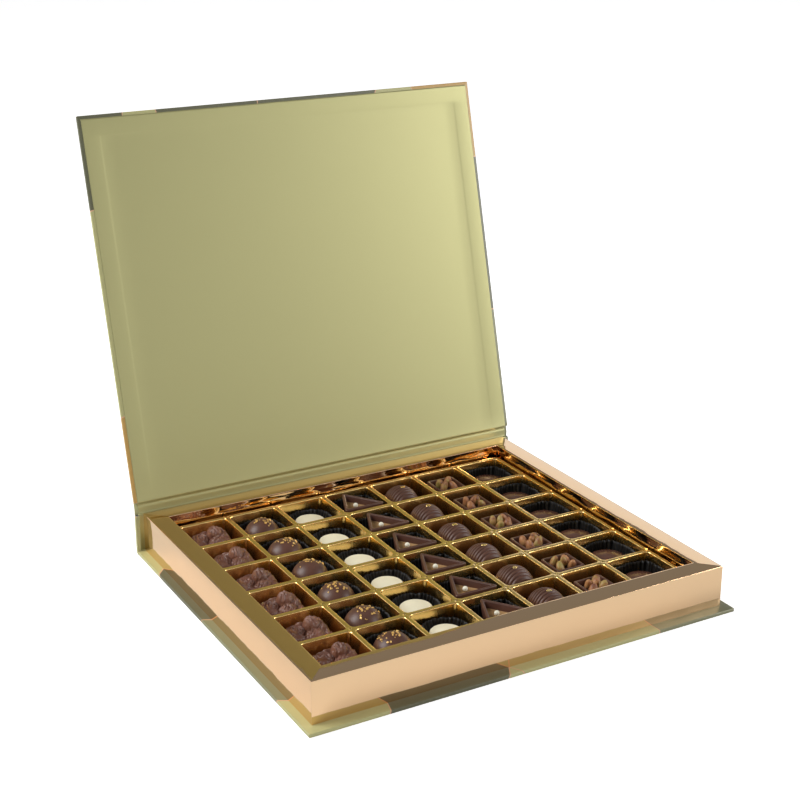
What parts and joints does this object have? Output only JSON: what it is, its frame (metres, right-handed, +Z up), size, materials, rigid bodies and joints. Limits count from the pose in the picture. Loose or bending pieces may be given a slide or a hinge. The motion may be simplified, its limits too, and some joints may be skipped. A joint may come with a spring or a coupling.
{
  "type": "chocolate box",
  "caption": "Book-style box of chocolates: hinged board lid, gold foil tray, lift-out pocket insert, black paper cups and assorted milk and white chocolates.",
  "frame": {"origin": "middle of the tray's footprint, on the underside of the base, the surface it stands on", "axes": "+X along the spine to the right, -Y towards the front (the lid's hinge is at +Y), +Z up"},
  "size_m": [0.3278, 0.3631, 0.3152],
  "materials": {
    "greyboard": "matt",
    "cover_paper": "printed satin",
    "lining_paper": "satin",
    "magnet_steel": "plated",
    "tray_board": "matt",
    "gold_foil": "metal foil",
    "gold_sheet": "metallised",
    "cup_paper": "waxed",
    "milk_chocolate": "satin",
    "dark_chocolate": "satin",
    "white_chocolate": "satin",
    "caramel": "satin",
    "sugar_pearl": "pearl",
    "gold_crumb": "rough",
    "gold_leaf": "leaf",
    "pistachio": "rough",
    "roasted_nut": "rough"
  },
  "bodies": {
    "case_and_tray": {"base_board": "greyboard", "base_wrap": "cover_paper", "spine_board": "greyboard", "spine_wrap": "cover_paper", "spine_liner": "lining_paper", "tray_floor": "tray_board", "floor_lining": "gold_foil", "tray_front_wall": "tray_board", "tray_right_wall": "tray_board", "tray_back_wall": "tray_board", "tray_left_wall": "tray_board", "tray_foil": "gold_foil", "tray_magnets": "magnet_steel"},
    "lid": {"lid_board": "greyboard", "lid_wrap": "cover_paper", "lid_liner": "lining_paper", "lid_magnets": "magnet_steel"},
    "insert": {"insert_tray": "gold_sheet", "dome_cups": "cup_paper", "white_disc_cups": "cup_paper", "triangle_cups": "cup_paper", "milk_disc_cups": "cup_paper"},
    "nut_cluster_pieces": {"nut_clusters": "milk_chocolate"},
    "crumb_dome_pieces": {"crumb_domes": "milk_chocolate", "dome_crumbs": "gold_crumb"},
    "white_disc_pieces": {"white_discs": "white_chocolate"},
    "triangle_pieces": {"triangle_shells": "milk_chocolate", "caramel_fillings": "caramel", "sugar_pearls": "sugar_pearl"},
    "ribbed_barrel_pieces": {"ribbed_barrels": "milk_chocolate", "gold_flakes": "gold_leaf"},
    "nut_square_pieces": {"square_shells": "milk_chocolate", "dark_fillings": "dark_chocolate", "pistachio_kernels": "pistachio", "roasted_kernels": "roasted_nut"},
    "milk_disc_pieces": {"milk_discs": "milk_chocolate"}
  },
  "joints": [
    {"name": "lid_hinge", "type": "hinge", "parent": "case_and_tray", "child": "lid", "pos_m": [0, 0.1418, 0.0358], "axis": [-1, 0, 0], "range_deg": [-104.8, 80]},
    {"name": "insert_lift", "type": "slide", "parent": "case_and_tray", "child": "insert", "axis": [0, 0, 1], "range_m": [0, 0.06]},
    {"name": "nut_cluster_lift", "type": "slide", "parent": "insert", "child": "nut_cluster_pieces", "axis": [0, 0, 1], "range_m": [0, 0.05]},
    {"name": "crumb_dome_lift", "type": "slide", "parent": "insert", "child": "crumb_dome_pieces", "axis": [0, 0, 1], "range_m": [0, 0.05]},
    {"name": "white_disc_lift", "type": "slide", "parent": "insert", "child": "white_disc_pieces", "axis": [0, 0, 1], "range_m": [0, 0.05]},
    {"name": "triangle_lift", "type": "slide", "parent": "insert", "child": "triangle_pieces", "axis": [0, 0, 1], "range_m": [0, 0.05]},
    {"name": "ribbed_barrel_lift", "type": "slide", "parent": "insert", "child": "ribbed_barrel_pieces", "axis": [0, 0, 1], "range_m": [0, 0.05]},
    {"name": "nut_square_lift", "type": "slide", "parent": "insert", "child": "nut_square_pieces", "axis": [0, 0, 1], "range_m": [0, 0.05]},
    {"name": "milk_disc_lift", "type": "slide", "parent": "insert", "child": "milk_disc_pieces", "axis": [0, 0, 1], "range_m": [0, 0.05]}
  ]
}
